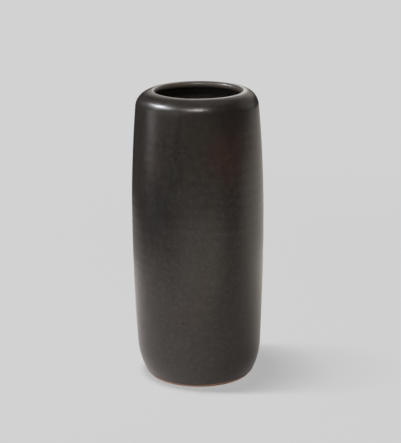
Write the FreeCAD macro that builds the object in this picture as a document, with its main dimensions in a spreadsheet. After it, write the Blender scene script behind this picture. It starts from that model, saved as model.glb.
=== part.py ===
"""Tall stoneware vase: one thrown clay body and the three coats of glaze fused to it.

Frame: millimetres, +Z up, the origin on the table at the middle of the foot, the wheel's axis on Z.
Every section is drawn once in the XZ plane, as tangent arcs, and revolved about Z.  The driving sizes
are those of the finished, glazed surface; the clay lies under it by the thickness of the glaze, so
each clay arc shares the centre of the glaze arc above it.
"""
import FreeCAD, Part

import math
import os

import Sketcher

# Driving sizes: name, value in mm, and what it is.  The slope alone is in degrees.
SIZES = [
    ("height", 240.0, "table to the crest of the lip"),
    ("belly_radius", 54.3, "widest radius of the vase"),
    ("belly_height", 134.7, "height of the widest ring"),
    ("upper_side_arc", 1010.0, "arc of the side above the widest ring"),
    ("lower_side_arc", 2160.0, "arc of the side below the widest ring"),
    ("heel_arc", 60.0, "arc that draws the side in to the foot"),
    ("heel_centre_height", 29.6, "height of the centre of the heel arc"),
    ("shoulder_arc", 13.9, "arc of the turned-in shoulder"),
    ("crest_arc", 10.5, "arc from the shoulder to the crest of the lip"),
    ("crest_radius", 37.3, "radius of the crest of the lip"),
    ("lip_arc", 2.7, "rounding of the lip, round to its underside"),
    ("under_shoulder_arc", 10.0, "hollow under the shoulder, inside"),
    ("wall_thickness", 6.0, "side wall with both its coats of glaze"),
    ("inner_heel_arc", 24.0, "rounding from the inner wall to the floor"),
    ("floor_height", 9.5, "table to the glazed floor"),
    ("glaze_thickness", 0.6, "coat of glaze outside and inside"),
    ("glaze_line_height", 1.8, "height at which the outside glaze ends"),
    ("glaze_edge_round", 0.35, "rolled lower edge of the outside glaze"),
    ("foot_inner_radius", 35.5, "inner radius of the ring that touches the table"),
    ("recess_depth", 2.5, "depth of the turned recess inside the foot ring"),
    ("recess_wall_slope", 20.0, "degrees that the recess wall leans in"),
    ("foot_outer_round", 0.7, "sponged outer edge of the foot ring"),
    ("foot_inner_round", 1.0, "sponged inner edge of the foot ring"),
    ("recess_corner_round", 1.2, "rounding where the recess wall meets its ceiling"),
    ("base_glaze_radius", 32.0, "radius of the glaze patch in the recess"),
    ("base_glaze_thickness", 0.5, "glaze patch in the recess"),
    ("base_glaze_round", 0.3, "rounded edge of the glaze patch"),
]
VALUE = {name: value for name, value, _ in SIZES}

START, END, CENTRE = 1, 2, 3  # the points of a sketch arc or line
ORIGIN = -1  # the sketch's root point belongs to its horizontal axis
X_AXIS, Z_AXIS = -1, -2


def make_sheet(doc):
    """Writes the driving sizes into a spreadsheet, each with its alias and a note."""
    sheet = doc.addObject("Spreadsheet::Sheet", "Sizes")
    for row, (name, value, note) in enumerate(SIZES, start=1):
        sheet.set(f"A{row}", name)
        sheet.set(f"B{row}", str(value))
        sheet.setAlias(f"B{row}", name)
        sheet.set(f"C{row}", note)
    doc.recompute()
    return sheet


# ---------------------------------------------------------------------------- centres of the arcs


def meet(first, first_distance, second, second_distance):
    """The lower of the two points at these distances from two centres."""
    dx, dz = second[0] - first[0], second[1] - first[1]
    span = math.hypot(dx, dz)
    along = (first_distance**2 - second_distance**2 + span**2) / (2 * span)
    across = math.sqrt(first_distance**2 - along**2)
    foot_x, foot_z = first[0] + along * dx / span, first[1] + along * dz / span
    points = [
        (foot_x + side * across * dz / span, foot_z - side * across * dx / span)
        for side in (1, -1)
    ]
    return min(points, key=lambda point: point[1])


def centre_at_height(other, distance, height):
    """The centre at this height, on the outer side, at this distance from another centre."""
    return (other[0] + math.sqrt(distance**2 - (height - other[1]) ** 2), height)


def arc_centres():
    """Where each arc of the section is centred, as (radius from the axis, height)."""
    v = VALUE
    at = {
        "upper_side": (v["belly_radius"] - v["upper_side_arc"], v["belly_height"]),
        "lower_side": (v["belly_radius"] - v["lower_side_arc"], v["belly_height"]),
        "crest": (v["crest_radius"], v["height"] - v["crest_arc"]),
        "lip": (v["crest_radius"], v["height"] - v["lip_arc"]),
    }
    at["shoulder"] = meet(
        at["crest"], v["shoulder_arc"] - v["crest_arc"],
        at["upper_side"], v["upper_side_arc"] - v["shoulder_arc"],
    )
    at["under_shoulder"] = meet(
        at["lip"], v["lip_arc"] + v["under_shoulder_arc"],
        at["upper_side"], v["upper_side_arc"] - v["wall_thickness"] - v["under_shoulder_arc"],
    )
    at["heel"] = centre_at_height(
        at["lower_side"], v["lower_side_arc"] - v["heel_arc"], v["heel_centre_height"]
    )
    at["inner_heel"] = centre_at_height(
        at["lower_side"], v["lower_side_arc"] - v["wall_thickness"] - v["inner_heel_arc"],
        v["floor_height"] + v["inner_heel_arc"],
    )
    return at


def direction(start, end):
    """Angle from one centre to another, in radians."""
    return math.atan2(end[1] - start[1], end[0] - start[0])


# ---------------------------------------------------------------------------- sketching


class Section:
    """A sketch in the XZ plane of one body: across is the radius, up is the height."""

    def __init__(self, body, name):
        self.sketch = body.newObject("Sketcher::SketchObject", name)
        plane = [f for f in body.Origin.OriginFeatures if f.Role == "XZ_Plane"][0]
        self.sketch.AttachmentSupport = [(plane, "")]
        self.sketch.MapMode = "FlatFace"

    def arc(self, centre, radius, start, end):
        """Adds an arc that runs anticlockwise between two angles and returns its index."""
        circle = Part.Circle(FreeCAD.Vector(*centre, 0), FreeCAD.Vector(0, 0, 1), radius)
        return self.sketch.addGeometry(Part.ArcOfCircle(circle, start, end), False)

    def line(self, start, end):
        """Adds a straight line and returns its index."""
        segment = Part.LineSegment(FreeCAD.Vector(*start, 0), FreeCAD.Vector(*end, 0))
        return self.sketch.addGeometry(segment, False)

    def point(self, index, which):
        """The place of a line's or arc's end, as (radius, height)."""
        place = self.sketch.getPoint(index, which)
        return place.x, place.y

    def rule(self, kind, *where):
        """Adds a geometric constraint."""
        self.sketch.addConstraint(Sketcher.Constraint(kind, *where))

    def bind(self, kind, name, expression, where, value):
        """Adds a dimension, at its value for now, and binds it to the spreadsheet's sizes."""
        index = self.sketch.addConstraint(Sketcher.Constraint(kind, *where, value))
        self.sketch.renameConstraint(index, name)
        self.sketch.setExpression(f"Constraints.{name}", expression)

    def radius(self, name, expression, index):
        """Fixes the radius of an arc."""
        self.bind("Radius", name, expression, (index,), self.sketch.Geometry[index].Radius)

    def across(self, name, expression, index, which):
        """Fixes how far a point is from the axis."""
        where = (ORIGIN, START, index, which)
        self.bind("DistanceX", name, expression, where, self.point(index, which)[0])

    def up(self, name, expression, index, which):
        """Fixes how high a point is above the table."""
        where = (ORIGIN, START, index, which)
        self.bind("DistanceY", name, expression, where, self.point(index, which)[1])


def outer_arcs(section, inset, prefix=""):
    """Draws the outside, from the heel to the crest, at a depth below the finished surface.

    Returns the indices of the heel arc and the crest arc, whose free ends the caller closes.
    """
    v, at = VALUE, arc_centres()
    depth = v[inset] if inset else 0.0
    less = f" - Sizes.{inset}" if inset else ""
    low = direction(at["lower_side"], at["heel"])
    high = direction(at["upper_side"], at["shoulder"])
    turn = direction(at["shoulder"], at["crest"])
    bottom = -math.asin(v["heel_centre_height"] / (v["heel_arc"] - depth))
    heel = section.arc(at["heel"], v["heel_arc"] - depth, bottom, low)
    lower = section.arc(at["lower_side"], v["lower_side_arc"] - depth, low, 0)
    upper = section.arc(at["upper_side"], v["upper_side_arc"] - depth, 0, high)
    shoulder = section.arc(at["shoulder"], v["shoulder_arc"] - depth, high, turn)
    crest = section.arc(at["crest"], v["crest_arc"] - depth, turn, math.pi / 2)

    chain = [heel, lower, upper, shoulder, crest]
    for below, above in zip(chain, chain[1:]):
        section.rule("Tangent", below, END, above, START)
    names = ["heel", "lower_side", "upper_side", "shoulder", "crest"]
    for name, index in zip(names, chain):
        section.radius(f"{prefix}{name}_arc", f"Sizes.{name}_arc{less}", index)
    section.across(f"{prefix}belly_radius", f"Sizes.belly_radius{less}", upper, START)
    section.up(f"{prefix}belly_height", "Sizes.belly_height", upper, START)
    section.up(f"{prefix}belly_centre", "Sizes.belly_height", upper, CENTRE)
    section.up(f"{prefix}heel_centre", "Sizes.heel_centre_height", heel, CENTRE)
    section.across(f"{prefix}crest_radius", "Sizes.crest_radius", crest, END)
    section.across(f"{prefix}crest_centre", "Sizes.crest_radius", crest, CENTRE)
    section.up(f"{prefix}crest_height", f"Sizes.height{less}", crest, END)
    return heel, crest


def inner_arcs(section, inset, prefix=""):
    """Draws the inside, from the floor to the crest, at a depth below the finished surface.

    Returns the indices of the floor line and the lip arc, whose free ends the caller closes.
    """
    v, at = VALUE, arc_centres()
    depth = v[inset] if inset else 0.0
    less = f" - Sizes.{inset}" if inset else ""
    more = f" + Sizes.{inset}" if inset else ""
    wall = v["wall_thickness"] - depth
    low = direction(at["lower_side"], at["inner_heel"])
    high = direction(at["upper_side"], at["under_shoulder"])
    turn = direction(at["under_shoulder"], at["lip"])
    heel_arc = v["inner_heel_arc"] + depth
    floor_z = v["floor_height"] - depth
    floor = section.line((0, floor_z), (at["inner_heel"][0], floor_z))
    heel = section.arc(at["inner_heel"], heel_arc, -math.pi / 2, low)
    lower = section.arc(at["lower_side"], v["lower_side_arc"] - wall, low, 0)
    upper = section.arc(at["upper_side"], v["upper_side_arc"] - wall, 0, high)
    under = section.arc(at["under_shoulder"], v["under_shoulder_arc"] + depth, high, turn)
    lip = section.arc(at["lip"], v["lip_arc"] - depth, math.pi / 2, math.pi + turn)

    section.rule("Horizontal", floor)
    section.rule("PointOnObject", floor, START, Z_AXIS)
    section.rule("Tangent", floor, END, heel, START)
    for below, above in zip([heel, lower, upper], [lower, upper, under]):
        section.rule("Tangent", below, END, above, START)
    section.rule("Tangent", under, END, lip, END)
    side = f"- Sizes.wall_thickness{more}"
    section.radius(f"{prefix}inner_heel", f"Sizes.inner_heel_arc{more}", heel)
    section.radius(f"{prefix}inner_lower", f"Sizes.lower_side_arc {side}", lower)
    section.radius(f"{prefix}inner_upper", f"Sizes.upper_side_arc {side}", upper)
    section.radius(f"{prefix}under_shoulder", f"Sizes.under_shoulder_arc{more}", under)
    section.radius(f"{prefix}lip", f"Sizes.lip_arc{less}", lip)
    section.up(f"{prefix}floor_height", f"Sizes.floor_height{less}", floor, START)
    section.across(f"{prefix}inner_radius", f"Sizes.belly_radius {side}", upper, START)
    section.up(f"{prefix}inner_belly", "Sizes.belly_height", upper, START)
    section.up(f"{prefix}inner_centre", "Sizes.belly_height", upper, CENTRE)
    section.across(f"{prefix}lip_centre", "Sizes.crest_radius", lip, CENTRE)
    return floor, lip


def close_gap(section, first, first_end, second, second_end):
    """Joins two free ends with a straight line."""
    line = section.line(section.point(first, first_end), section.point(second, second_end))
    section.rule("Coincident", line, START, first, first_end)
    section.rule("Coincident", line, END, second, second_end)


# ---------------------------------------------------------------------------- solid features


def new_body(doc, label):
    """A part design body whose label names its file."""
    body = doc.addObject("PartDesign::Body", label)
    body.Label = label
    return body


def turn_on_wheel(body, section, kind="PartDesign::Revolution", name="Turned"):
    """Revolves a section about Z, adding (Revolution) or cutting (Groove) material."""
    feature = body.newObject(kind, name)
    feature.Profile = section.sketch
    feature.ReferenceAxis = (section.sketch, ["V_Axis"])
    feature.Angle = 360.0
    section.sketch.Visibility = False
    body.Document.recompute()
    return feature


def circle_edges(shape, radius, height):
    """Names of the circular edges about Z with this radius and height."""
    close = 0.02
    return [
        f"Edge{number}"
        for number, edge in enumerate(shape.Edges, start=1)
        if isinstance(edge.Curve, Part.Circle)
        and abs(edge.Curve.Radius - radius) < close
        and abs(edge.Curve.Center.z - height) < close
    ]


def round_edge(body, base, radius, height, alias, name):
    """Rounds the circular edge at this radius and height with a fillet of the named size."""
    edges = circle_edges(base.Shape, radius, height)
    if len(edges) != 1:
        raise RuntimeError(f"{name}: expected one edge at r {radius:.3f}, z {height:.3f}: {edges}")
    fillet = body.newObject("PartDesign::Fillet", name)
    fillet.Base = (base, edges)
    fillet.setExpression("Radius", f"Sizes.{alias}")
    body.Document.recompute()
    return fillet


def heel_radius_at(height, depth):
    """Radius of the heel arc at a height, at a depth below the finished surface."""
    centre = arc_centres()["heel"]
    return centre[0] + math.sqrt((VALUE["heel_arc"] - depth) ** 2 - (centre[1] - height) ** 2)


# ---------------------------------------------------------------------------- the four sub-parts


def make_clay_body(doc):
    """The thrown clay: side, shoulder, lip and floor in one, with the turned foot ring below."""
    body = new_body(doc, "clay_body")
    wall = Section(body, "ClayWall")
    heel, crest = outer_arcs(wall, "glaze_thickness")
    floor, lip = inner_arcs(wall, "glaze_thickness")
    wall.rule("Coincident", crest, END, lip, START)
    wall.rule("PointOnObject", heel, START, X_AXIS)
    axis = wall.line(wall.point(floor, START), (0, 0))
    wall.rule("Coincident", axis, START, floor, START)
    wall.rule("Coincident", axis, END, ORIGIN, START)
    close_gap(wall, axis, END, heel, START)
    thrown = turn_on_wheel(body, wall, name="Thrown")

    ceiling = VALUE["recess_depth"]
    slope = math.radians(VALUE["recess_wall_slope"])
    top_radius = VALUE["foot_inner_radius"] - ceiling * math.tan(slope)
    recess = Section(body, "FootRecess")
    down = recess.line((0, ceiling), (0, 0))
    table = recess.line((0, 0), (VALUE["foot_inner_radius"], 0))
    rise = recess.line((VALUE["foot_inner_radius"], 0), (top_radius, ceiling))
    over = recess.line((top_radius, ceiling), (0, ceiling))
    for first, second in ((down, table), (table, rise), (rise, over), (over, down)):
        recess.rule("Coincident", first, END, second, START)
    recess.rule("Coincident", down, END, ORIGIN, START)
    recess.rule("Vertical", down)
    recess.rule("Horizontal", table)
    recess.rule("Horizontal", over)
    recess.across("foot_inner_radius", "Sizes.foot_inner_radius", rise, START)
    recess.up("recess_depth", "Sizes.recess_depth", rise, END)
    recess.across(
        "ceiling_radius",
        "Sizes.foot_inner_radius - Sizes.recess_depth * tan(Sizes.recess_wall_slope * 1 deg)",
        rise, END,
    )
    before = thrown.Shape.Volume
    turned = turn_on_wheel(body, recess, "PartDesign::Groove", "Recess")
    if turned.Shape.Volume >= before:
        raise RuntimeError("the foot recess cut nothing")

    foot_edge = heel_radius_at(0, VALUE["glaze_thickness"])
    rounded = round_edge(body, turned, foot_edge, 0, "foot_outer_round", "FootOuterRound")
    rounded = round_edge(
        body, rounded, VALUE["foot_inner_radius"], 0, "foot_inner_round", "FootInnerRound"
    )
    round_edge(body, rounded, top_radius, ceiling, "recess_corner_round", "RecessRound")
    return body


def make_outer_glaze(doc):
    """The coat outside: from the wiped line above the foot, over the shoulder, to the crest."""
    body = new_body(doc, "outer_glaze")
    coat = Section(body, "OuterCoat")
    heel, crest = outer_arcs(coat, None, "face_")
    clay_heel, clay_crest = outer_arcs(coat, "glaze_thickness", "clay_")
    for name, end in (("face_glaze_line", heel), ("clay_glaze_line", clay_heel)):
        coat.up(name, "Sizes.glaze_line_height", end, START)
    close_gap(coat, heel, START, clay_heel, START)
    close_gap(coat, crest, END, clay_crest, END)
    turned = turn_on_wheel(body, coat, name="Coat")
    line_height = VALUE["glaze_line_height"]
    rim = heel_radius_at(line_height, 0)
    round_edge(body, turned, rim, line_height, "glaze_edge_round", "RolledEdge")
    return body


def make_inner_glaze(doc):
    """The liner: from the crest, under the shoulder, down the inside and over the floor."""
    body = new_body(doc, "inner_glaze")
    coat = Section(body, "InnerCoat")
    floor, lip = inner_arcs(coat, None, "face_")
    clay_floor, clay_lip = inner_arcs(coat, "glaze_thickness", "clay_")
    for name, end, top in (
        ("face_crest", lip, "Sizes.height"),
        ("clay_crest", clay_lip, "Sizes.height - Sizes.glaze_thickness"),
    ):
        coat.across(f"{name}_radius", "Sizes.crest_radius", end, START)
        coat.up(f"{name}_height", top, end, START)
    close_gap(coat, floor, START, clay_floor, START)
    close_gap(coat, lip, START, clay_lip, START)
    turn_on_wheel(body, coat, name="Coat")
    return body


def make_base_glaze(doc):
    """The patch of glaze on the ceiling of the foot recess, held clear of the table."""
    body = new_body(doc, "base_glaze")
    patch = Section(body, "BasePatch")
    top, radius = VALUE["recess_depth"], VALUE["base_glaze_radius"]
    bottom = top - VALUE["base_glaze_thickness"]
    corners = [(0, bottom), (radius, bottom), (radius, top), (0, top)]
    lines = [patch.line(a, b) for a, b in zip(corners, corners[1:] + corners[:1])]
    for first, second in zip(lines, lines[1:] + lines[:1]):
        patch.rule("Coincident", first, END, second, START)
    under, edge, over, axis = lines
    patch.rule("Horizontal", under)
    patch.rule("Horizontal", over)
    patch.rule("Vertical", edge)
    patch.rule("PointOnObject", axis, START, Z_AXIS)
    patch.rule("PointOnObject", axis, END, Z_AXIS)
    patch.across("patch_radius", "Sizes.base_glaze_radius", edge, START)
    patch.up("patch_top", "Sizes.recess_depth", edge, END)
    patch.up("patch_bottom", "Sizes.recess_depth - Sizes.base_glaze_thickness", edge, START)
    turned = turn_on_wheel(body, patch, name="Patch")
    round_edge(body, turned, radius, bottom, "base_glaze_round", "PatchRound")
    return body


# ---------------------------------------------------------------------------- check and write


def check(doc, bodies):
    """Stops if a sketch is loose, a feature has failed or a sub-part is not one sound solid."""
    doc.recompute()
    for item in doc.Objects:
        if {"Invalid", "Error"} & set(item.State):
            raise RuntimeError(f"{item.Label} failed: {item.State}")
        if item.TypeId == "Sketcher::SketchObject" and item.solve() != 0:
            raise RuntimeError(f"{item.Label} does not solve")
        if item.TypeId == "Sketcher::SketchObject" and not item.FullyConstrained:
            raise RuntimeError(f"{item.Label} is not fully constrained")
    for body in bodies:
        shape = body.Shape
        if shape.isNull() or not shape.isValid() or len(shape.Solids) != 1:
            raise RuntimeError(f"{body.Label} is not one valid solid")


def main():
    doc = FreeCAD.newDocument("StonewareVase")
    make_sheet(doc)
    bodies = [
        make_clay_body(doc),
        make_outer_glaze(doc),
        make_inner_glaze(doc),
        make_base_glaze(doc),
    ]
    check(doc, bodies)
    os.makedirs("parts", exist_ok=True)
    for body in bodies:
        body.Shape.exportStep(os.path.join("parts", f"{body.Label}.step"))
        box = body.Shape.BoundBox
        print(
            f"{body.Label}: {body.Shape.Volume / 1000:.1f} cm3, "
            f"radius {box.XMax:.2f}, z {box.ZMin:.2f} to {box.ZMax:.2f}"
        )


main()
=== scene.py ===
import math
import random

import bpy
import numpy as np
from mathutils import Matrix, Vector
from mathutils.kdtree import KDTree


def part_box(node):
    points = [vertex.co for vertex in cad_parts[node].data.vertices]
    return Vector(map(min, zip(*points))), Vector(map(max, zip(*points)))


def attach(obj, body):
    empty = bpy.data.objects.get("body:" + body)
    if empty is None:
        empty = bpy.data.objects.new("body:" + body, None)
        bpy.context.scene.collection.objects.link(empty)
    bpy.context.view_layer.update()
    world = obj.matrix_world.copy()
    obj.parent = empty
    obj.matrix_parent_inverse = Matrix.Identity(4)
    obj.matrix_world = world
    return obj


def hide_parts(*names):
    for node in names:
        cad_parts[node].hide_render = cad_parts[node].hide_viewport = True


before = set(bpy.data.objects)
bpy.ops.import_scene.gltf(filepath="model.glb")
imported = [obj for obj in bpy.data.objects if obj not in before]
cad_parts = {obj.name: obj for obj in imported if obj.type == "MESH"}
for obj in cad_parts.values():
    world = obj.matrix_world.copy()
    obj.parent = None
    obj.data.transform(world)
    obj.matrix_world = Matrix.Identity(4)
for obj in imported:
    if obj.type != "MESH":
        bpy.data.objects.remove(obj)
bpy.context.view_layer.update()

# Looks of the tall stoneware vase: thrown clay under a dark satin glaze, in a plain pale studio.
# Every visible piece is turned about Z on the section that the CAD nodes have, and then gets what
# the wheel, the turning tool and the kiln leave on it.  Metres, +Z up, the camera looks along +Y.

MM = 0.001
rng = random.Random(24)

# ---------------------------------------------------------------------------- sizes from the frame

outer_low, outer_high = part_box("outer_glaze")
inner_low, inner_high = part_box("inner_glaze")
clay_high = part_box("clay_body")[1]
patch_low, patch_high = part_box("base_glaze")

HEIGHT = outer_high.z
BELLY_RADIUS = outer_high.x
GLAZE = outer_high.x - clay_high.x
WALL = outer_high.x + GLAZE - inner_high.x
FLOOR_HEIGHT = inner_low.z + GLAZE
GLAZE_LINE = outer_low.z
RECESS_DEPTH = patch_high.z
PATCH_RADIUS = patch_high.x
PATCH_THICKNESS = patch_high.z - patch_low.z

# The arcs of the section, as the CAD model draws them.
BELLY_HEIGHT = 134.7 * MM
UPPER_SIDE_ARC = 1010 * MM
LOWER_SIDE_ARC = 2160 * MM
HEEL_ARC = 60 * MM
HEEL_CENTRE_HEIGHT = 29.6 * MM
SHOULDER_ARC = 13.9 * MM
CREST_ARC = 10.5 * MM
CREST_RADIUS = 37.3 * MM
LIP_ARC = 2.7 * MM
UNDER_SHOULDER_ARC = 10 * MM
INNER_HEEL_ARC = 24 * MM
FOOT_INNER_RADIUS = 35.5 * MM
RECESS_WALL_SLOPE = math.radians(20)
FOOT_OUTER_ROUND = 0.7 * MM
FOOT_INNER_ROUND = 1.0 * MM
RECESS_CORNER_ROUND = 1.2 * MM

SEGMENTS = 320  # faces round the vase

# The vase was thrown by hand: its mouth and its foot are a little to one side, and the mouth leans
# forward.
MOUTH_ASIDE = 0.9 * MM
FOOT_ASIDE = 0.7 * MM
MOUTH_TILT, MOUTH_DIP = 0.5 * MM, 0.2 * MM
MOUTH_FADE = 40 * MM  # how far down the inside the mouth's move dies out
FOOT_FADE = 60 * MM  # how far up the outside the foot's move dies out

# ---------------------------------------------------------------------------- the turned section


class Arc:
    """Part of a circle in the (radius, height) plane.  The surface looks away from its centre if
    side is 1, and towards it if side is -1."""

    def __init__(self, centre, radius, start, end, side=1):
        self.centre, self.radius = np.array(centre), radius
        self.start, self.turn, self.side = start, end - start, side
        self.length = abs(self.turn) * radius

    def at(self, share):
        """Points and outward directions at these shares of the arc's length."""
        angle = self.start + self.turn * share
        out = np.stack([np.cos(angle), np.sin(angle)], axis=-1)
        return self.centre + self.radius * out, self.side * out


class Run:
    """A straight run in the (radius, height) plane, with one outward direction."""

    def __init__(self, start, end, out):
        self.start, self.end, self.out = np.array(start), np.array(end), np.array(out)
        self.length = float(np.linalg.norm(self.end - self.start))
        self.radius = math.inf

    def at(self, share):
        """Points and outward directions at these shares of the run's length."""
        points = self.start + (self.end - self.start) * np.asarray(share)[..., None]
        return points, np.broadcast_to(self.out, points.shape)


class Path:
    """Arcs and runs end to end.  A place on it is its distance from the path's start."""

    def __init__(self, parts):
        self.parts = parts
        self.starts = np.concatenate([[0], np.cumsum([part.length for part in parts])])
        self.length = float(self.starts[-1])

    def at(self, place):
        """Points and outward directions at these places."""
        place = np.clip(np.asarray(place, float), 0, self.length)
        which = np.clip(np.searchsorted(self.starts, place, "right") - 1, 0, len(self.parts) - 1)
        points, out = np.zeros((*place.shape, 2)), np.zeros((*place.shape, 2))
        for number, part in enumerate(self.parts):
            mine = which == number
            share = (place[mine] - self.starts[number]) / part.length
            points[mine], out[mine] = part.at(share)
        return points, out

    def stations(self, start, end, widest, finest, fine_at=(), bend=0.05, grow=0.25):
        """Places from start to end: close together near fine_at and on tight arcs.

        A step is at most bend times the radius of the arc that it is on, and it widens by grow times
        the distance from the nearest of fine_at.
        """
        places = [start]
        while places[-1] < end:
            here = places[-1]
            number = min(int(np.searchsorted(self.starts, here, "right")) - 1, len(self.parts) - 1)
            near = min([abs(here - place) for place in fine_at], default=math.inf)
            step = min(widest, bend * self.parts[number].radius, finest + grow * near)
            places.append(here + max(step, finest))
        places[-1] = end
        if len(places) > 2 and places[-1] - places[-2] < finest / 2:
            del places[-2]
        return np.array(places)


def direction(start, end):
    """Angle from one point to another."""
    return math.atan2(end[1] - start[1], end[0] - start[0])


def meet(first, first_distance, second, second_distance):
    """The lower of the two points at these distances from two centres."""
    dx, dz = second[0] - first[0], second[1] - first[1]
    span = math.hypot(dx, dz)
    along = (first_distance**2 - second_distance**2 + span**2) / (2 * span)
    across = math.sqrt(first_distance**2 - along**2)
    foot_x, foot_z = first[0] + along * dx / span, first[1] + along * dz / span
    points = [
        (foot_x + side * across * dz / span, foot_z - side * across * dx / span)
        for side in (1, -1)
    ]
    return min(points, key=lambda point: point[1])


def centre_at_height(other, distance, height):
    """The centre at this height, on the outer side, at this distance from another centre."""
    return (other[0] + math.sqrt(distance**2 - (height - other[1]) ** 2), height)


upper_side = (BELLY_RADIUS - UPPER_SIDE_ARC, BELLY_HEIGHT)
lower_side = (BELLY_RADIUS - LOWER_SIDE_ARC, BELLY_HEIGHT)
crest = (CREST_RADIUS, HEIGHT - CREST_ARC)
lip = (CREST_RADIUS, HEIGHT - LIP_ARC)
shoulder = meet(crest, SHOULDER_ARC - CREST_ARC, upper_side, UPPER_SIDE_ARC - SHOULDER_ARC)
under_shoulder = meet(
    lip, LIP_ARC + UNDER_SHOULDER_ARC, upper_side, UPPER_SIDE_ARC - WALL - UNDER_SHOULDER_ARC
)
heel = centre_at_height(lower_side, LOWER_SIDE_ARC - HEEL_ARC, HEEL_CENTRE_HEIGHT)
inner_heel = centre_at_height(
    lower_side, LOWER_SIDE_ARC - WALL - INNER_HEEL_ARC, FLOOR_HEIGHT + INNER_HEEL_ARC
)
foot_round = centre_at_height(heel, HEEL_ARC - GLAZE - FOOT_OUTER_ROUND, FOOT_OUTER_ROUND)

QUARTER = math.pi / 2
inner_turn = direction(under_shoulder, lip)

skin = Path([
    Arc(heel, HEEL_ARC, direction(heel, foot_round), direction(lower_side, heel)),
    Arc(lower_side, LOWER_SIDE_ARC, direction(lower_side, heel), 0),
    Arc(upper_side, UPPER_SIDE_ARC, 0, direction(upper_side, shoulder)),
    Arc(shoulder, SHOULDER_ARC, direction(upper_side, shoulder), direction(shoulder, crest)),
    Arc(crest, CREST_ARC, direction(shoulder, crest), QUARTER),
    Arc(lip, LIP_ARC, QUARTER, math.pi + inner_turn),
    Arc(under_shoulder, UNDER_SHOULDER_ARC, inner_turn, direction(upper_side, under_shoulder), -1),
    Arc(upper_side, UPPER_SIDE_ARC - WALL, direction(upper_side, under_shoulder), 0, -1),
    Arc(lower_side, LOWER_SIDE_ARC - WALL, 0, direction(lower_side, inner_heel), -1),
    Arc(inner_heel, INNER_HEEL_ARC, direction(lower_side, inner_heel), -QUARTER, -1),
    Run((inner_heel[0], FLOOR_HEIGHT), (0, FLOOR_HEIGHT), (0, 1)),
])
AT_SHOULDER, AT_CREST, AT_UNDER_LIP, AT_INNER_HEEL = skin.starts[[3, 5, 6, 9]]
AT_GLAZE_LINE = HEEL_ARC * (
    math.asin((GLAZE_LINE - HEEL_CENTRE_HEIGHT) / HEEL_ARC) - direction(heel, foot_round)
)

lean = np.array([math.cos(RECESS_WALL_SLOPE), math.sin(RECESS_WALL_SLOPE)])


def beside_recess_wall(distance, height):
    """The point at this height and this distance outside the recess wall (inside if negative)."""
    return (FOOT_INNER_RADIUS + (distance - height * lean[1]) / lean[0], height)


ring_round = beside_recess_wall(FOOT_INNER_ROUND, FOOT_INNER_ROUND)
ceiling_round = beside_recess_wall(-RECESS_CORNER_ROUND, RECESS_DEPTH - RECESS_CORNER_ROUND)

foot = Path([
    Run((0, RECESS_DEPTH), (ceiling_round[0], RECESS_DEPTH), (0, -1)),
    Arc(ceiling_round, RECESS_CORNER_ROUND, QUARTER, RECESS_WALL_SLOPE, -1),
    Run(
        np.array(ceiling_round) + RECESS_CORNER_ROUND * lean,
        np.array(ring_round) - FOOT_INNER_ROUND * lean,
        -lean,
    ),
    Arc(ring_round, FOOT_INNER_ROUND, RECESS_WALL_SLOPE - math.pi, -QUARTER),
    Run((ring_round[0], 0), (foot_round[0], 0), (0, -1)),
    Arc(foot_round, FOOT_OUTER_ROUND, -QUARTER, direction(heel, foot_round)),
])
AT_RECESS_WALL, AT_RING = foot.starts[2], foot.starts[4]

SECTION_POINTS = 20000
SECTION_SLACK = 0.05 * MM
CLEAR_OF_EDGE = 1 * MM  # the lower edge of the glaze lies across the section, so it isn't checked


def check_section():
    """Stops the script if the CAD coats don't lie along the section that is drawn here."""
    line = KDTree(SECTION_POINTS)
    for number, point in enumerate(skin.at(np.linspace(0, skin.length, SECTION_POINTS))[0]):
        line.insert((*point, 0), number)
    line.balance()
    for name in ("outer_glaze", "inner_glaze"):
        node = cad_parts[name]
        for vertex in node.data.vertices:
            place = node.matrix_world @ vertex.co
            off = line.find((math.hypot(place.x, place.y), place.z, 0))[2]
            on_a_face = min(off, abs(off - GLAZE)) < SECTION_SLACK
            if place.z > GLAZE_LINE + CLEAR_OF_EDGE and not on_a_face:
                raise ValueError(f"{name} is {off} m off the section at height {place.z}")


check_section()

# ---------------------------------------------------------------------------- marks of the hand


class Waves:
    """A smooth seeded unevenness round and along the vase, from about -1 to 1.

    Each wave has a whole number of cycles round the vase, most_turns at the most, and repeats along
    the section at some distance between the shortest and the longest.
    """

    def __init__(self, count, most_turns, shortest, longest):
        self.waves = [
            (
                rng.randint(-most_turns, most_turns),
                2 * math.pi / rng.uniform(shortest, longest),
                rng.uniform(0, 2 * math.pi),
            )
            for _ in range(count)
        ]

    def at(self, place, angle):
        """Heights at these places and angles."""
        total = sum(np.cos(k * angle + w * place + phase) for k, w, phase in self.waves)
        return total / math.sqrt(2 * len(self.waves))


def ease(value, start, end):
    """0 before start, 1 after end, and smooth between them."""
    share = np.clip((value - start) / (end - start), 0, 1)
    return share * share * (3 - 2 * share)


# How deep the unevenness of the wall is: a slow drift, soft dents and a wavy lip.
DRIFT_DEPTH, DENT_DEPTH, LIP_DEPTH = 0.16 * MM, 0.05 * MM, 0.10 * MM
# The throwing ridges: faint outside, strong inside, and weaker again across the floor.
OUTER_RIDGE_DEPTH, INNER_RIDGE_DEPTH = 0.02 * MM, 0.20 * MM
RIDGE_SPACING = 8.5 * MM
RIDGE_SWAY = 1.4  # how far the ridges wander, in radians of their own wave
LOST_ON_FLOOR = 0.5
RIDGE_FADE = 25 * MM
# All of it starts above the foot and dies out at the middle of the floor.
CALM_ABOVE_FOOT, FULL_ABOVE_FOOT = 4 * MM, 30 * MM
MIDDLE_FADE = 12 * MM

wall_drift = Waves(6, 3, 150 * MM, 400 * MM)
wall_dents = Waves(28, 9, 22 * MM, 70 * MM)
ridge_drift = Waves(8, 3, 60 * MM, 160 * MM)
lip_drift = Waves(5, 4, 300 * MM, 900 * MM)

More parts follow.
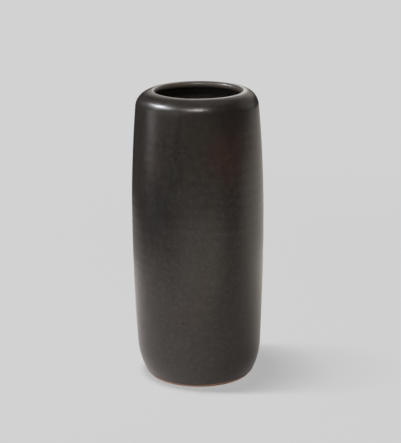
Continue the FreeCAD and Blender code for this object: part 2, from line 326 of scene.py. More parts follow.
# Small pits and blebs that can be seen, as (degrees round from the front, height, width, depth).
SEEN_MARKS = [
    (11.7, 15.5 * MM, 2.2 * MM, -0.34 * MM),
    (-37, 117 * MM, 0.9 * MM, 0.12 * MM),
    (-24, 140 * MM, 1.1 * MM, -0.12 * MM),
    (-5, 171 * MM, 1.2 * MM, 0.08 * MM),
    (-54, 147 * MM, 0.8 * MM, 0.10 * MM),
    (3, 52 * MM, 1.0 * MM, -0.08 * MM),
]
OTHER_MARKS = 46
MARK_LEVELS = (0.08, 0.9)  # shares of the height
MARK_WIDTHS, MARK_DEPTHS = (0.7, 1.2), (0.04, 0.12)  # in millimetres


def scattered_marks():
    """More such marks all round, away from the lip and the foot: about two pits to each bleb."""
    return [
        (
            rng.uniform(-180, 180),
            rng.uniform(*MARK_LEVELS) * HEIGHT,
            rng.uniform(*MARK_WIDTHS) * MM,
            rng.choice([-1, -1, 1]) * rng.uniform(*MARK_DEPTHS) * MM,
        )
        for _ in range(OTHER_MARKS)
    ]


marks = SEEN_MARKS + scattered_marks()
SIDE_SAMPLES = 2000


def side_place(height):
    """The place on the outside of the skin at this height."""
    places = np.linspace(0, AT_CREST, SIDE_SAMPLES)
    points, _ = skin.at(places)
    return float(np.interp(height, points[:, 1], places))


def thrown(place, angle):
    """How far the thrown and glazed surface stands off the drawn section."""
    inside = ease(place, AT_UNDER_LIP, AT_UNDER_LIP + RIDGE_FADE)
    outside = 1 - ease(place, AT_SHOULDER - RIDGE_FADE, AT_SHOULDER)
    on_floor = ease(place, AT_INNER_HEEL, skin.length)
    sway = RIDGE_SWAY * ridge_drift.at(place, angle)
    ridges = np.cos(2 * math.pi * place / RIDGE_SPACING + angle + sway)
    ridge_depth = OUTER_RIDGE_DEPTH * outside + INNER_RIDGE_DEPTH * inside * (1 - LOST_ON_FLOOR * on_floor)
    height = DRIFT_DEPTH * wall_drift.at(place, angle) + DENT_DEPTH * wall_dents.at(place, angle)
    height += ridge_depth * ridges
    height += LIP_DEPTH * lip_drift.at(place, angle) * (1 - outside) * (1 - inside)
    height *= ease(place, CALM_ABOVE_FOOT, FULL_ABOVE_FOOT)
    return height * ease(skin.length - place, 0, MIDDLE_FADE)


def carried(points, place):
    """Points moved where the mouth and the foot stand off the axis, and where the mouth leans."""
    at_mouth = ease(place, AT_SHOULDER, AT_CREST)
    at_mouth = at_mouth * (1 - ease(place, AT_UNDER_LIP, AT_UNDER_LIP + MOUTH_FADE))
    at_foot = 1 - ease(place, 0, FOOT_FADE)
    moved = points.copy()
    moved[..., 0] += MOUTH_ASIDE * at_mouth + FOOT_ASIDE * at_foot
    moved[..., 2] += (MOUTH_TILT * points[..., 1] / CREST_RADIUS - MOUTH_DIP) * at_mouth
    return moved


def marked(place, angle):
    """The pits and blebs of the outside."""
    height = np.zeros(np.broadcast(place, angle).shape)
    for degrees, level, width, depth in marks:
        turned = math.radians(degrees) - QUARTER
        round_way = (angle - turned + math.pi) % (2 * math.pi) - math.pi
        away = (round_way * BELLY_RADIUS) ** 2 + (place - side_place(level)) ** 2
        height += depth * np.exp(-away / (2 * (width / 2) ** 2))
    return height


# ---------------------------------------------------------------------------- lathe meshes

ANGLES = np.arange(SEGMENTS) * 2 * math.pi / SEGMENTS
SHARP_ANGLE = math.radians(50)


def ring_points(path, places, lift):
    """Rings of points about Z at these places on a path, lifted off it along its outward direction.

    Places and lift are one number for each ring, or one for each ring and angle.
    """
    places = np.asarray(places, float).reshape(len(places), -1)
    places = np.broadcast_to(places, (len(places), SEGMENTS))
    points, out = path.at(places)
    section = points + out * np.broadcast_to(lift, places.shape)[..., None]
    across, height = section[..., 0], section[..., 1]
    points = np.stack([across * np.cos(ANGLES), across * np.sin(ANGLES), height], axis=-1)
    return carried(points, places if path is skin else 0 * places)


def lathe(name, rings, poles=None):
    """A closed mesh of rings joined by quads: with a pole at each end, or else end to start."""
    count = len(rings)
    points = rings.reshape(-1, 3).tolist()
    first = np.arange(count * SEGMENTS).reshape(count, SEGMENTS)
    after = np.roll(first, -1, axis=1)
    low = slice(0, count - 1) if poles else slice(0, count)
    up, up_after = np.roll(first, -1, axis=0), np.roll(after, -1, axis=0)
    faces = np.stack([first[low], after[low], up_after[low], up[low]], axis=-1).reshape(-1, 4).tolist()
    if poles:
        for pole, ring, ring_after in ((poles[0], after[0], first[0]), (poles[1], first[-1], after[-1])):
            points.append(pole)
            faces += [(len(points) - 1, a, b) for a, b in zip(ring.tolist(), ring_after.tolist())]
    mesh = bpy.data.meshes.new(name)
    mesh.from_pydata(points, [], faces)
    mesh.validate()
    mesh.polygons.foreach_set("use_smooth", np.ones(len(mesh.polygons), bool))
    mesh.set_sharp_from_angle(angle=SHARP_ANGLE)
    piece = bpy.data.objects.new(name, mesh)
    bpy.context.scene.collection.objects.link(piece)
    return piece


def finish_piece(piece, nodes, material):
    """Puts a piece in place of CAD nodes, on the vase's one body and material."""
    piece.data.materials.append(material)
    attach(piece, "root")
    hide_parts(*nodes)
    return piece


# ---------------------------------------------------------------------------- the pieces

# These two are only used round the vase, so how they repeat along it makes no difference.
edge_wander = Waves(9, 7, 1.0, 2.0)
patch_wander = Waves(11, 9, 1.0, 2.0)

foot_drift = Waves(6, 2, 15 * MM, 40 * MM)
foot_scuffs = Waves(24, 30, 2 * MM, 8 * MM)
brush_drift = Waves(6, 2, 12 * MM, 30 * MM)

# The widest and the finest spacing of rings: on glaze that shows, on the bare heel, under the foot,
# and on faces that other pieces hide.
SEEN_STEPS, HEEL_STEPS, FOOT_STEPS = (1.5 * MM, 0.1 * MM), (0.3 * MM, 0.2 * MM), (0.5 * MM, 0.15 * MM)
HIDDEN_STEPS, HIDDEN_OUTER_STEPS = (5 * MM, 0.4 * MM), (5 * MM, 1 * MM)
MIDDLE_GAP = 0.4 * MM  # from a pole on the axis to the ring round it

# The low roll behind the rounded edge of a coat: its height as a share of the coat, then its middle
# and the square of its width, in widths of the rounding.
ROLL_SWELL, ROLL_PLACE, ROLL_SPREAD = 0.22, 1.3, 1.2
EDGE_ROUND, PATCH_EDGE_ROUND = 0.7 * MM, 0.8 * MM
EDGE_SWAY, EDGE_RAISE = 0.40 * MM, 0.35 * MM  # how the lower edge of the glaze wanders
EDGE_GRIP = 24  # how soon the places above the edge stop following it
POOL_DEPTH, POOL_START = 0.5 * MM, 0.6  # the start is a share of the inner heel's radius
FINE_PAST_GLAZE_LINE = 1 * MM

# Marks of the turning tool under the foot, and scuffs on the ring that it stands on.
TURNING_SPACING, TURNING_DEPTH, RECESS_TURNING_DEPTH = 1.9 * MM, 0.02 * MM, 0.05 * MM
TURNING_FADE, RECESS_FADE, RING_FADE = 3 * MM, 2 * MM, 1 * MM
SCUFF_DEPTH = 0.02 * MM

# The brushed patch under the foot: its edge as shares of its radius, its rings and its brush marks.
PATCH_SHARE, PATCH_SWAY = 0.97, 0.035
PLAIN_SHARE, EDGE_SHARE = 0.9, 0.91  # where the wide rings end, and where the close ones start
PLAIN_RINGS, EDGE_RINGS, BACK_RINGS = 60, 24, 12
BRUSH_SPACING, BRUSH_DEPTH = 5.2 * MM, 0.05 * MM
BRUSH_MIDDLE_FADE, BRUSH_EDGE_FADE = 4 * MM, 2 * MM


def edge_profile(distance, thickness, roll):
    """Thickness of a coat at a distance from its edge: rounded, then a low roll, then even."""
    rounded = np.sqrt(1 - (1 - np.clip(distance / roll, 0, 1)) ** 2)
    swell = 1 + ROLL_SWELL * np.exp(-((distance / roll - ROLL_PLACE) ** 2) / ROLL_SPREAD)
    return thickness * rounded * swell


def make_outer_glaze(material):
    """The coat outside, from its wandering rolled edge above the foot to the crest of the lip."""
    wander = EDGE_SWAY * edge_wander.at(0.0, ANGLES) + EDGE_RAISE
    edge = AT_GLAZE_LINE + wander
    front = skin.stations(AT_GLAZE_LINE, AT_CREST, *SEEN_STEPS, (AT_GLAZE_LINE, AT_CREST))
    back = skin.stations(AT_GLAZE_LINE, AT_CREST, *HIDDEN_OUTER_STEPS, bend=0.15)[::-1]

    def follow(places):
        """Places moved with the wandering edge, less and less higher up."""
        share = (AT_CREST - places[:, None]) / (AT_CREST - AT_GLAZE_LINE)
        return places[:, None] + wander * share**EDGE_GRIP

    front_places, back_places = follow(front), follow(back)
    off = edge_profile(front_places - edge, GLAZE, EDGE_ROUND) - GLAZE
    off += thrown(front_places, ANGLES) + marked(front_places, ANGLES)
    rings = np.concatenate([
        ring_points(skin, front_places, off)[1:],
        ring_points(skin, back_places, thrown(back_places, ANGLES) - GLAZE),
    ])
    return finish_piece(lathe("glaze_outside", rings), ["outer_glaze"], material)


def make_inner_glaze(material):
    """The liner, from the crest of the lip, down the inside, to a slight pool on the floor."""
    end = skin.length - MIDDLE_GAP
    front = skin.stations(AT_CREST, end, *SEEN_STEPS, (AT_CREST,), bend=0.1)[::-1]
    back = skin.stations(AT_CREST, end, *HIDDEN_STEPS, bend=0.12)
    pool = POOL_DEPTH * ease(front, AT_INNER_HEEL + POOL_START * INNER_HEEL_ARC, skin.length)
    rings = np.concatenate([
        ring_points(skin, front, thrown(front[:, None], ANGLES) + pool[:, None]),
        ring_points(skin, back, thrown(back[:, None], ANGLES) - GLAZE),
    ])
    poles = [(0, 0, FLOOR_HEIGHT + pool[0]), (0, 0, FLOOR_HEIGHT - GLAZE)]
    piece = lathe("glaze_inside", rings, poles)
    return finish_piece(piece, ["inner_glaze"], material)


def make_clay(material):
    """The clay: the wall under the glaze, and the turned foot ring and recess, which are left bare."""
    fine_end = AT_GLAZE_LINE + FINE_PAST_GLAZE_LINE
    under = foot.stations(MIDDLE_GAP, foot.length, *FOOT_STEPS, bend=0.15)[:-1]
    visible = skin.stations(0, fine_end, *HEEL_STEPS)[:-1]
    hidden = skin.stations(fine_end, skin.length - MIDDLE_GAP, *HIDDEN_STEPS, bend=0.12)
    covered = np.concatenate([visible, hidden])

    along = under[:, None]
    ridge = np.cos(2 * math.pi * along / TURNING_SPACING + ANGLES + foot_drift.at(along, ANGLES))
    in_recess = 1 - ease(along, AT_RECESS_WALL - RECESS_FADE, AT_RECESS_WALL)
    on_ring = ease(along, AT_RING - RING_FADE, AT_RING + RING_FADE)
    turning = (RECESS_TURNING_DEPTH * in_recess + TURNING_DEPTH) * ridge
    turning *= ease(along, 0, TURNING_FADE) * (1 - on_ring)
    scuffs = SCUFF_DEPTH * foot_scuffs.at(along, ANGLES) * on_ring
    scuffs *= ease(foot.length - along, 0, RING_FADE)
    rings = np.concatenate([
        ring_points(foot, under, turning - np.abs(scuffs)),
        ring_points(skin, covered, thrown(covered[:, None], ANGLES) - GLAZE),
    ])
    poles = [(FOOT_ASIDE, 0, RECESS_DEPTH), (0, 0, FLOOR_HEIGHT - GLAZE)]
    return finish_piece(lathe("thrown_clay", rings, poles), ["clay_body"], material)


def make_base_patch(material):
    """The patch of glaze brushed on the ceiling of the foot recess."""
    wander = PATCH_RADIUS * (PATCH_SHARE + PATCH_SWAY * patch_wander.at(0.0, ANGLES))
    start = MIDDLE_GAP / PATCH_RADIUS
    plain, edge = np.linspace(start, PLAIN_SHARE, PLAIN_RINGS), np.linspace(EDGE_SHARE, 1, EDGE_RINGS)
    places = np.concatenate([plain, edge])[:, None] * wander
    sway = brush_drift.at(places, ANGLES)
    brushed = BRUSH_DEPTH * np.cos(2 * math.pi * places / BRUSH_SPACING - ANGLES + sway)
    brushed *= ease(places, 0, BRUSH_MIDDLE_FADE) * ease(wander - places, 0, BRUSH_EDGE_FADE)
    off = edge_profile(wander - places, PATCH_THICKNESS, PATCH_EDGE_ROUND) + brushed
    back = np.linspace(1, start, BACK_RINGS)[1:, None] * wander
    rings = np.concatenate([ring_points(foot, places, off), ring_points(foot, back, 0 * back)])
    poles = [(FOOT_ASIDE, 0, RECESS_DEPTH - PATCH_THICKNESS), (FOOT_ASIDE, 0, RECESS_DEPTH)]
    return finish_piece(lathe("glaze_patch_under", rings, poles), ["base_glaze"], material)


# ---------------------------------------------------------------------------- node trees


class Nodes:
    """A material's node tree, with short helpers that add and link nodes."""

    def __init__(self, name):
        self.material = bpy.data.materials.new(name)
        self.material.use_nodes = True
        self.tree = self.material.node_tree
        self.tree.nodes.clear()
        self.place = self.add("ShaderNodeTexCoord").outputs["Object"]

    def add(self, kind, inputs=None, **settings):
        """Adds a node, sets its settings, and sets or links its inputs."""
        node = self.tree.nodes.new(kind)
        for name, value in settings.items():
            setattr(node, name, value)
        for name, value in (inputs or {}).items():
            socket = node.inputs[name]
            if isinstance(value, bpy.types.NodeSocket):
                self.tree.links.new(value, socket)
            else:
                socket.default_value = value
        return node

    def math(self, operation, first, second=0.0):
        """One sum of two values."""
        return self.add("ShaderNodeMath", {0: first, 1: second}, operation=operation).outputs[0]

    def distance(self, place):
        """How far the surface is from a place."""
        return self.add(
            "ShaderNodeVectorMath", {0: self.place, 1: place}, operation="DISTANCE"
        ).outputs["Value"]

    def noise(self, size, detail=3.0, roughness=0.55, stretch=(1, 1, 1), seed=0.0):
        """Noise from 0 to 1 whose features are about this size in metres, stretched along X, Y, Z."""
        scale = tuple(1 / (size * part) for part in stretch)
        moved = self.add(
            "ShaderNodeMapping", {"Vector": self.place, "Scale": scale, "Location": (seed, 0, 0)}
        )
        return self.add("ShaderNodeTexNoise", {
            "Vector": moved.outputs[0], "Scale": 1.0, "Detail": detail, "Roughness": roughness,
        }).outputs[0]

    def spots(self, size, reach, seed=0.0):
        """Scattered spots: 1 at the middle of each, 0 beyond this share of their spacing."""
        scale = (1 / size,) * 3
        moved = self.add(
            "ShaderNodeMapping", {"Vector": self.place, "Scale": scale, "Location": (seed, seed, 0)}
        )
        cells = self.add("ShaderNodeTexVoronoi", {"Vector": moved.outputs[0], "Scale": 1.0})
        return self.remap(cells.outputs["Distance"], reach, 0, 0, 1)

    def remap(self, value, low, high, to_low=0.0, to_high=1.0):
        """Moves a value smoothly from one range to another, and holds it at the ends."""
        return self.add("ShaderNodeMapRange", {
            "Value": value, "From Min": low, "From Max": high, "To Min": to_low, "To Max": to_high,
        }, interpolation_type="SMOOTHSTEP").outputs[0]

    def blend(self, share, first, second):
        """A colour between two colours.  On this node, inputs 6 and 7 are the colours."""
        inputs = {0: share, 6: first, 7: second}
        return self.add("ShaderNodeMix", inputs, data_type="RGBA").outputs[2]

    def bump(self, height, distance, normal=None):
        """Fine relief of this depth in metres."""
        inputs = {"Height": height, "Strength": 1.0, "Distance": distance}
        if normal is not None:
            inputs["Normal"] = normal
        return self.add("ShaderNodeBump", inputs).outputs[0]

    def close(self, shader):
        """Links the shader to the output, and returns the finished material."""
        self.add("ShaderNodeOutputMaterial", {"Surface": shader.outputs[0]})
        return self.material

    def coated(self, colour, roughness, relief, refraction):
        """The finished material of an opaque coat, with this index of refraction."""
        return self.close(self.add("ShaderNodeBsdfPrincipled", {
            "Base Color": colour, "Roughness": roughness, "IOR": refraction, "Normal": relief,
        }))


# ---------------------------------------------------------------------------- materials

GLAZE_REFRACTION, CLAY_REFRACTION = 1.5, 1.45

# Colours of the glaze outside, in linear light.
IRON_BROWN, OLIVE = (0.0156, 0.0120, 0.0096, 1), (0.0166, 0.0142, 0.0105, 1)
RUST, STREAK = (0.0300, 0.0135, 0.0095, 1), (0.0085, 0.0070, 0.0062, 1)
PALE_MOTTLE, DARK_MOTTLE = (0.0310, 0.0260, 0.0225, 1), (0.0085, 0.0068, 0.0052, 1)
PALE_SPECK, DARK_SPECK = (0.0620, 0.0430, 0.0270, 1), (0.0065, 0.0055, 0.0050, 1)
DARK_CLOUD = (0.0075, 0.0064, 0.0066, 1)
# Colours of the liner, painted about three times lighter than the glaze outside: painted light for the dim
# inside of the vase.
LINER_LIT_BROWN, LINER_LIT_THIN, LINER_LIT_MOTTLE = (
    (0.0420, 0.0350, 0.0290, 1), (0.0560, 0.0440, 0.0340, 1), (0.0560, 0.0420, 0.0300, 1)
)
# Colours of the bare clay.
TOASTED, DARK_TOASTED = (0.360, 0.195, 0.108, 1), (0.240, 0.122, 0.068, 1)
SAND, TURNED_RING = (0.460, 0.285, 0.170, 1), (0.170, 0.086, 0.052, 1)
IRON_SPECK, GROG = (0.030, 0.016, 0.012, 1), (0.470, 0.350, 0.235, 1)

# The reddish flush, and where it starts to fade and where it ends.
FLUSH_PLACE = (31 * MM, -41 * MM, 196 * MM)
FLUSH_FADE = (8 * MM, 40 * MM)
# Darker clouds in the glaze, as (place, where it starts to fade, where it ends, strength).
DARK_CLOUDS = (
    ((-37 * MM, -37 * MM, 146 * MM), 12 * MM, 56 * MM, 0.5),
    ((30 * MM, -36 * MM, 228 * MM), 6 * MM, 30 * MM, 0.45),
)


def dark_glaze(name, flush=1.0):
    """Satin iron glaze: near-black brown that breaks to olive and rust, matter towards the foot.

    There is a reddish flush high on the front, right of the middle, and there are darker clouds.
    """
    n = Nodes(name)
    height = n.add("ShaderNodeSeparateXYZ", {"Vector": n.place}).outputs[2]
    clouds = n.noise(34 * MM, detail=4, seed=1.7)
    streaks = n.noise(9 * MM, detail=3, stretch=(1, 1, 5), seed=4.1)
    mottle = n.noise(3.2 * MM, detail=4, roughness=0.62, seed=8.3)
    grain = n.noise(0.7 * MM, detail=2, seed=2.9)

    olive = n.remap(clouds, 0.44, 0.68)
    rust = n.remap(n.noise(46 * MM, detail=3, seed=21.5), 0.50, 0.72)
    near_flush = n.remap(n.distance(FLUSH_PLACE), *FLUSH_FADE, 1, 0)
    near_flush = n.math("MULTIPLY", near_flush, n.remap(streaks, 0.2, 0.6, 0.55, 1))
    rust = n.math("MAXIMUM", n.math("MULTIPLY", rust, 0.5), near_flush)
    colour = n.blend(olive, IRON_BROWN, OLIVE)
    colour = n.blend(n.math("MULTIPLY", rust, 0.75 * flush), colour, RUST)
    # The mottle is weaker high up, where the glaze ran thinner and smoother.
    mottled = n.remap(height, 0.55 * HEIGHT, 0.95 * HEIGHT, 0.55, 0.25)
    pale = n.math("MULTIPLY", n.remap(mottle, 0.50, 0.66), mottled)
    dark = n.math("MULTIPLY", n.remap(mottle, 0.50, 0.36), mottled)
    colour = n.blend(pale, colour, PALE_MOTTLE)
    colour = n.blend(dark, colour, DARK_MOTTLE)
    colour = n.blend(n.remap(streaks, 0.30, 0.46, 0.55, 0), colour, STREAK)
    for place, start, end, strength in DARK_CLOUDS:
        near = n.remap(n.distance(place), start, end, strength * flush, 0)
        colour = n.blend(near, colour, DARK_CLOUD)
    # The dark specks are fainter inside the flush.
    dark_specks = n.spots(7.5 * MM, 0.09, seed=3.3)
    pale_specks = n.spots(9.5 * MM, 0.07, seed=9.1)
    speckled = n.remap(near_flush, 0, 0.6, 0.45, 0.1)
    colour = n.blend(n.math("MULTIPLY", dark_specks, speckled), colour, DARK_SPECK)
    colour = n.blend(n.math("MULTIPLY", pale_specks, 0.5), colour, PALE_SPECK)

    dryness = n.remap(height, 0.30 * HEIGHT, 0.02 * HEIGHT, 0, 0.035)
    roughness = n.math("ADD", n.remap(clouds, 0.3, 0.7, 0.275, 0.305), dryness)
    roughness = n.math("ADD", roughness, n.remap(mottle, 0.3, 0.7, -0.01, 0.01))

    relief = n.bump(mottle, 0.004 * MM)
    relief = n.bump(grain, 0.0008 * MM, relief)
    return n.coated(colour, roughness, relief, GLAZE_REFRACTION)


def liner_glaze(name):
    """The same glaze inside, in colours painted lighter than outside as painted light for the dim inside,
    with clouds and a fine mottle.
    """
    n = Nodes(name)
    clouds = n.noise(28 * MM, detail=4, seed=5.2)
    mottle = n.noise(2.6 * MM, detail=4, roughness=0.6, seed=12.4)
    # The liner's colours carry painted light: they are lighter than the outer glaze so that the inside
    # looks lit.
    colour = n.blend(n.remap(clouds, 0.40, 0.66), LINER_LIT_BROWN, LINER_LIT_THIN)
    colour = n.blend(n.remap(mottle, 0.55, 0.80, 0, 0.5), colour, LINER_LIT_MOTTLE)
    roughness = n.remap(clouds, 0.3, 0.7, 0.28, 0.32)
    relief = n.bump(mottle, 0.008 * MM)
    return n.coated(colour, roughness, relief, GLAZE_REFRACTION)


def fired_clay(name):
    """Bare fired stoneware: toasted orange-brown with iron specks, grog and a dry sandy face."""
    n = Nodes(name)
    clouds = n.noise(16 * MM, detail=4, seed=6.6)
    sand = n.noise(0.9 * MM, detail=3, roughness=0.65, seed=14.2)
    rings = n.noise(26 * MM, detail=2, stretch=(1, 1, 0.06), seed=3.8)
    colour = n.blend(n.remap(clouds, 0.35, 0.68), TOASTED, DARK_TOASTED)
    colour = n.blend(n.remap(sand, 0.48, 0.74, 0, 0.6), colour, SAND)
    colour = n.blend(n.remap(rings, 0.36, 0.50, 0.35, 0), colour, TURNED_RING)
    iron = n.spots(3.4 * MM, 0.15, seed=7.7)
    grog = n.spots(2.3 * MM, 0.13, seed=1.9)
    colour = n.blend(n.math("MULTIPLY", iron, 0.85), colour, IRON_SPECK)
    colour = n.blend(n.math("MULTIPLY", grog, 0.7), colour, GROG)
    roughness = n.remap(sand, 0.3, 0.7, 0.80, 0.92)
    relief = n.bump(sand, 0.12 * MM)
    relief = n.bump(grog, 0.08 * MM, relief)
    return n.coated(colour, roughness, relief, CLAY_REFRACTION)


# ---------------------------------------------------------------------------- studio

FLOOR_LIGHT = 0.645  # how bright the paper looks, in linear light
FLOOR_GLOW = 0.658  # the part of that which no shadow takes away
FLOOR_REACH = 12.0
PAPER_GREY, PAPER_UNEVEN = (0.25, 0.25, 0.25, 1), 0.015
PAPER_BLEND = (0.24, 0.9)  # where the shaded paper starts and ends its change to the even grey
WORLD_IN_GLAZE, WORLD_ON_MATT = 0.04, 0.05
SHOULDER_LEVEL = 0.95 * HEIGHT
# The strips of light over the paper: how high, how deep from front to back, and how far to the back.
STRIP_HEIGHT, STRIP_DEPTH, STRIP_BEHIND = 4.0, 0.20, 0.05
LAMP_DISTANCE = 2.0  # of the lamps that light the vase
PLAIN, COOL, BLUE = (1, 1, 1), (0.93, 0.95, 1), (0.72, 0.86, 1)
WARM, SANDY, ROSY = (1, 0.955, 0.91), (1, 0.93, 0.83), (1, 0.90, 0.96)


def compass(azimuth, elevation, distance):
    """A place seen from the shoulder of the vase: azimuth 0 is the camera's side, 90 is its right."""
    turn, rise = math.radians(azimuth), math.radians(elevation)
    flat = math.cos(rise) * distance
    level = SHOULDER_LEVEL + math.sin(rise) * distance
    return Vector((flat * math.sin(turn), -flat * math.cos(turn), level))


def stage_plane(name, size, material, place=(0, 0, 0), face=None):
    """A flat stage panel that faces along a direction, or lies level if none is given."""
    width, height = size[0] / 2, size[1] / 2
    mesh = bpy.data.meshes.new(name)
    corners = [(-width, -height, 0), (width, -height, 0), (width, height, 0), (-width, height, 0)]
    mesh.from_pydata(corners, [], [(0, 1, 2, 3)])
    mesh.materials.append(material)
    panel = bpy.data.objects.new(name, mesh)
    bpy.context.scene.collection.objects.link(panel)
    if face is not None:
        panel.rotation_euler = face.to_track_quat("Z", "Y").to_euler()
    panel.location = place
    return panel


# A card's shaded spot: the radius of its dimmest part, its own radius, and the light that is left in it.
SHADE_CORE, SHADE_EDGE, SHADE_LEFT = 0.02, 0.09, 0.5


def soft_card_material(name, size, radiance, softness, tint, corners, shade):
    """Light that fades towards the edge of a card and lets what is behind it through.

    A card is an oval if corners is 2, and nearer to a rectangle if it is more.  It is dimmer round
    the place shade, if there is one.
    """
    n = Nodes(name)
    along = n.add("ShaderNodeSeparateXYZ", {"Vector": n.place})
    shares = [n.math("ABSOLUTE", n.math("DIVIDE", along.outputs[i], size[i] / 2)) for i in (0, 1)]
    powers = [n.math("POWER", share, corners) for share in shares]
    reach = n.math("POWER", n.math("ADD", *powers), 1 / corners)
    strength = n.remap(reach, 1 - softness, 1, radiance, 0)
    if shade is not None:
        dimmed = n.remap(n.distance((*shade, 0)), SHADE_CORE, SHADE_EDGE, SHADE_LEFT, 1)
        strength = n.math("MULTIPLY", strength, dimmed)
    glow = n.add("ShaderNodeEmission", {"Color": (*tint, 1), "Strength": strength})
    clear = n.add("ShaderNodeBsdfTransparent")
    return n.close(n.add("ShaderNodeAddShader", {0: glow.outputs[0], 1: clear.outputs[0]}))


def soft_card(name, size, radiance, softness, place, face=None, tint=PLAIN, corners=2, shade=None):
    """A soft-edged light that only reflections see."""
    material = soft_card_material(name, size, radiance, softness, tint, corners, shade)
    card = stage_plane(name, size, material, place, face)
    card.visible_camera = card.visible_diffuse = card.visible_shadow = False
    card.visible_transmission = card.visible_volume_scatter = False


def facing_card(name, azimuth, elevation, distance, size, radiance, softness, tint=PLAIN, corners=2):
    """A soft card in a direction from the shoulder, turned to face it."""
    place = compass(azimuth, elevation, distance)
    soft_card(name, size, radiance, softness, place, compass(0, 0, 0) - place, tint, corners)


def make_paper():
    """The pale paper that the vase stands on, which runs out to the same grey as the world."""
    n = Nodes("paper")
    fibre = n.noise(1.5 * MM, detail=3, seed=3.1)
    tone = n.remap(fibre, 0.2, 0.8, 1 - PAPER_UNEVEN, 1 + PAPER_UNEVEN)
    matt = n.add("ShaderNodeBsdfDiffuse", {"Color": PAPER_GREY})
    glow = n.math("MULTIPLY", tone, FLOOR_LIGHT * FLOOR_GLOW)
    own = n.add("ShaderNodeEmission", {"Color": (1, 1, 1, 1), "Strength": glow})
    near = n.add("ShaderNodeAddShader", {0: matt.outputs[0], 1: own.outputs[0]})
    far = n.add("ShaderNodeEmission", {"Color": (1, 1, 1, 1), "Strength": FLOOR_LIGHT})
    share = n.remap(n.distance((0, 0, 0)), *PAPER_BLEND)
    paper = n.close(n.add("ShaderNodeMixShader", {0: share, 1: near.outputs[0], 2: far.outputs[0]}))
    floor = stage_plane("floor", (2 * FLOOR_REACH, 2 * FLOOR_REACH), paper)
    floor.visible_glossy = False
    return floor


def make_world():
    """The same grey as the paper to the camera, dim to the glaze, and soft to matt surfaces."""
    world = bpy.data.worlds.new("studio")
    bpy.context.scene.world = world
    world.use_nodes = True
    tree = world.node_tree
    tree.nodes.clear()
    path = tree.nodes.new("ShaderNodeLightPath")
    seen, dim, ambient = (tree.nodes.new("ShaderNodeBackground") for _ in range(3))
    strengths = ((seen, FLOOR_LIGHT), (dim, WORLD_IN_GLAZE), (ambient, WORLD_ON_MATT))
    for shade, strength in strengths:
        shade.inputs["Color"].default_value = (1, 1, 1, 1)
        shade.inputs["Strength"].default_value = strength
    glossy, camera = (tree.nodes.new("ShaderNodeMixShader") for _ in range(2))
    output = tree.nodes.new("ShaderNodeOutputWorld")
    links = [
        (path.outputs["Is Glossy Ray"], glossy.inputs[0]), (ambient.outputs[0], glossy.inputs[1]),
        (dim.outputs[0], glossy.inputs[2]), (path.outputs["Is Camera Ray"], camera.inputs[0]),
        (glossy.outputs[0], camera.inputs[1]), (seen.outputs[0], camera.inputs[2]),
        (camera.outputs[0], output.inputs[0]),
    ]
    for start, end in links:
        tree.links.new(start, end)


def add_lamp(name, size, power, place):
    """A rectangular soft light that faces straight down until it is turned."""
    lamp = bpy.data.lights.new(name, "AREA")
    lamp.shape, lamp.size, lamp.size_y, lamp.energy = "RECTANGLE", *size, power
    holder = bpy.data.objects.new(name, lamp)
    bpy.context.scene.collection.objects.link(holder)
    holder.location = place
    holder.visible_camera = False
    return holder


def light_only(lamp, pieces):
    """Keeps a lamp's light for these pieces."""
    group = bpy.data.collections.new("lit_by_" + lamp.name)
    for piece in pieces:
        group.objects.link(piece)
    lamp.light_linking.receiver_collection = group


def light_paper(floor):
    """Two soft strips of light overhead, a little to the left, that shade the paper."""
    for name, from_rise, to_rise, power in (("overhead", 76, 88.6, 100), ("overhead_left", 62, 76, 42)):
        near, far = (STRIP_HEIGHT / math.tan(math.radians(rise)) for rise in (to_rise, from_rise))
        place = (-(near + far) / 2, STRIP_BEHIND, STRIP_HEIGHT)
        lamp = add_lamp(name, (far - near, STRIP_DEPTH), power, place)
        lamp.visible_glossy = False
        light_only(lamp, [floor])


def light_vase(pieces):
    """The lights that shine on the vase alone.  The glaze mirrors the first nine of them."""
    for name, azimuth, elevation, size, power, tint, mirrored in (
        ("key_outer", -94, 40, (0.31, 0.24), 13, COOL, True),
        ("key", -86, 42.5, (0.31, 0.24), 15, COOL, True),
        ("key_inner", -68, 44, (0.16, 0.16), 6.5, COOL, True),
        ("key_edge", -108, 34, (0.40, 0.22), 6, COOL, True),
        ("key_under", -90, 27, (0.40, 0.25), 2.5, COOL, True),
        ("front_left", -27, 49, (0.34, 0.10), 2.6, WARM, True),
        ("front_low", -1, 43.5, (1.05, 0.10), 8.3, WARM, True),
        ("front_high", 0, 49, (0.50, 0.12), 9.8, WARM, True),
        ("side_window", -91, 1, (0.60, 0.70), 2.4, PLAIN, True),
        ("front_room", 0, 14, (2.4, 1.0), 5, SANDY, False),
        ("left_room_light", -50, 8, (1.6, 1.0), 16, BLUE, False),
        ("top_light", 0, 70, (1.6, 1.0), 26, COOL, False),
    ):
        place = compass(azimuth, elevation, LAMP_DISTANCE)
        lamp = add_lamp(name, size, power, place)
        lamp.data.color = tint
        lamp.rotation_euler = (place - compass(0, 0, 0)).to_track_quat("Z", "Y").to_euler()
        lamp.visible_glossy = mirrored
        light_only(lamp, pieces)


DIM_PLACE = (56 * MM, -22 * MM)  # the dimmest part of the table, beside the foot


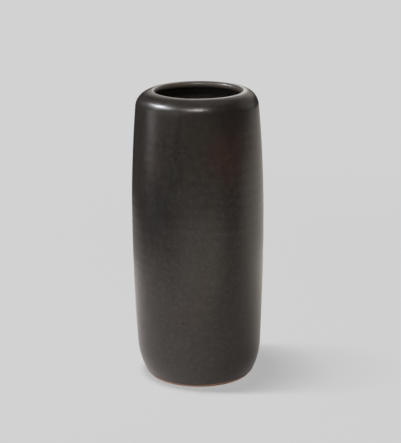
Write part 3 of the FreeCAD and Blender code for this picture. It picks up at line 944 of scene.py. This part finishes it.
def make_reflections():
    """What the glaze mirrors: the room round it, and the lit table that it stands on."""
    facing_card("left_room", -75, 6, 2.0, (2.6, 1.4), 0.35, 0.8, ROSY)
    facing_card("left_front", -40, 15, 2.0, (1.4, 1.2), 0.65, 0.8, SANDY)
    facing_card("left_back", -128, 18, 2.2, (0.9, 0.8), 0.40, 0.6)
    facing_card("right_low", 122, 2, 2.0, (1.0, 0.9), 0.35, 0.5, WARM)
    facing_card("right_room", 118, 22, 2.0, (2.2, 1.7), 0.42, 0.3, WARM)
    facing_card("behind", 176, 18, 2.5, (0.8, 1.1), 1.9, 0.5)
    facing_card("backdrop", 171, 28, 2.5, (2.5, 2.1), 0.84, 0.4, SANDY, corners=6)
    facing_card("ceiling", 145, 70, 2.5, (3.0, 2.4), 0.28, 0.5)
    for number, (name, place, size, radiance, softness, tint) in enumerate((
        ("table_near", (0.02, -0.10), (0.90, 1.0), 0.33, 0.2, SANDY),
        ("table_front", (0.05, -0.45), (0.9, 0.6), 0.68, 0.6, SANDY),
        ("table_left", (-0.14, -0.02), (0.6, 0.7), 0.48, 0.6, ROSY),
        ("table_back", (-0.25, 0.30), (0.6, 0.6), 0.36, 0.6, SANDY),
        ("table_right", (0.80, 0.70), (2.0, 2.0), 0.70, 0.3, SANDY),
        ("table_far", (0.50, -0.40), (2.8, 2.8), 0.166, 0.5, SANDY),
    )):
        shade = [DIM_PLACE[i] - place[i] for i in (0, 1)]
        level = -(1 + number / 2) * MM  # each just under the one before, so that none coincide
        soft_card(name, size, radiance, softness, (*place, level), tint=tint, shade=shade)


# ---------------------------------------------------------------------------- camera

CAMERA_RISE = math.radians(16.28)
CAMERA_DISTANCE = 4.675 * HEIGHT
CAMERA_LENS = 109.8
CAMERA_ROLL = math.radians(0.42)
AIM_UP, AIM_RIGHT = 0.0377 * HEIGHT, 0.0088 * HEIGHT


def make_camera():
    """A long lens a little above the lip, which frames the vase just under the middle."""
    middle = Vector((0, 0, HEIGHT / 2))
    back = Vector((0, -math.cos(CAMERA_RISE), math.sin(CAMERA_RISE)))
    right, up = Vector((1, 0, 0)), back.cross((1, 0, 0))
    place = middle + CAMERA_DISTANCE * back
    away = (place - (middle + AIM_UP * up + AIM_RIGHT * right)).normalized()
    side = up.cross(away).normalized()
    turned = Matrix.Rotation(-CAMERA_ROLL, 3, away)
    side = turned @ side
    basis = Matrix((side, away.cross(side), away)).transposed().to_4x4()
    camera = bpy.data.objects.new("camera", bpy.data.cameras.new("camera"))
    camera.data.lens = CAMERA_LENS
    camera.matrix_world = Matrix.Translation(place) @ basis
    bpy.context.scene.collection.objects.link(camera)
    bpy.context.scene.camera = camera


# ---------------------------------------------------------------------------- making


make_camera()
pieces = [
    make_outer_glaze(dark_glaze("satin_glaze")),
    make_inner_glaze(liner_glaze("liner")),
    make_clay(fired_clay("bare_clay")),
    make_base_patch(dark_glaze("patch_glaze", flush=0.4)),
]
light_paper(make_paper())
make_world()
light_vase(pieces)
make_reflections()
bpy.context.scene.view_settings.view_transform = "Standard"
bpy.context.view_layer.update()
